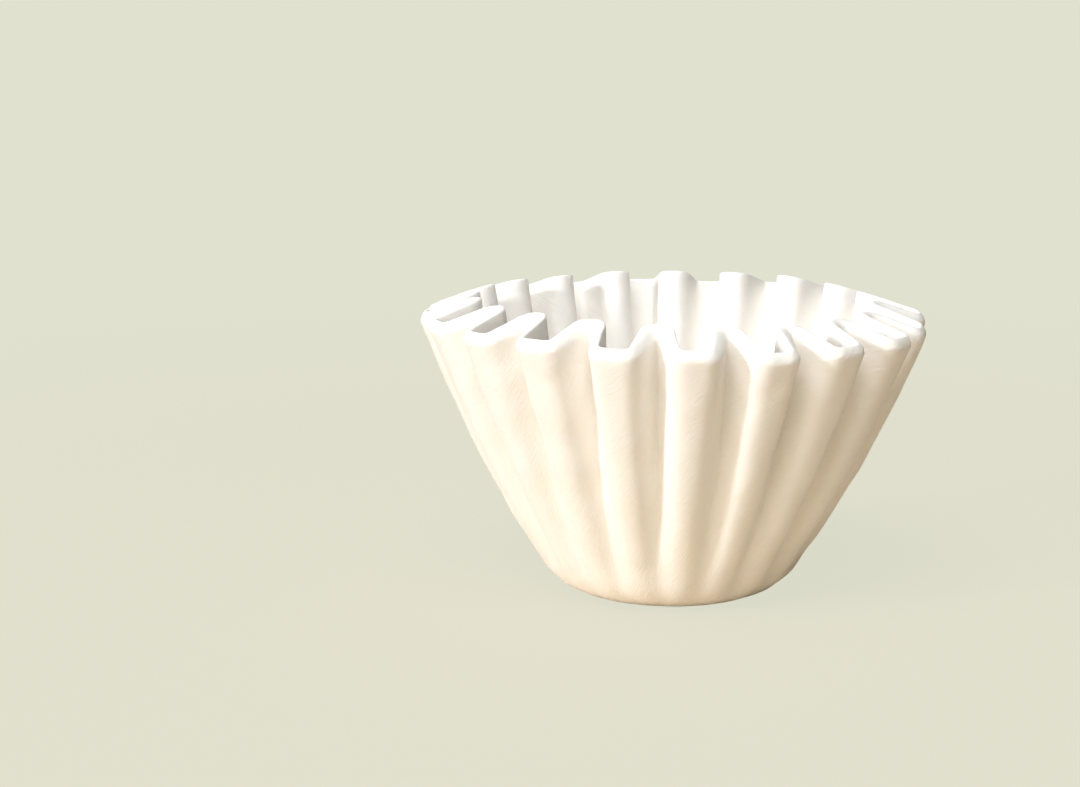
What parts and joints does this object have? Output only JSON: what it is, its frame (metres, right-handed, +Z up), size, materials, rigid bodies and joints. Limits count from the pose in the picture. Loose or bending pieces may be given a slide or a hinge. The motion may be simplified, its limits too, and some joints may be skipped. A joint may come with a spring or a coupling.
{
  "type": "paper coffee filter",
  "caption": "Fluted flat-bottomed coffee filter of white paper that stands open on its round base, to line a drip basket and hold ground coffee.",
  "frame": {"origin": "middle of the flat base's underside, on the surface that the filter stands on", "axes": "+Z up, out of the open mouth; -Y is the front that the picture looks at; +X to the right of it"},
  "size_m": [0.1005, 0.1007, 0.0595],
  "materials": {
    "white_paper": "matt, uncoated, fibrous filter paper, white with a slightly warm cast"
  },
  "bodies": {
    "root": {"filter_paper": "white_paper"}
  },
  "joints": []
}
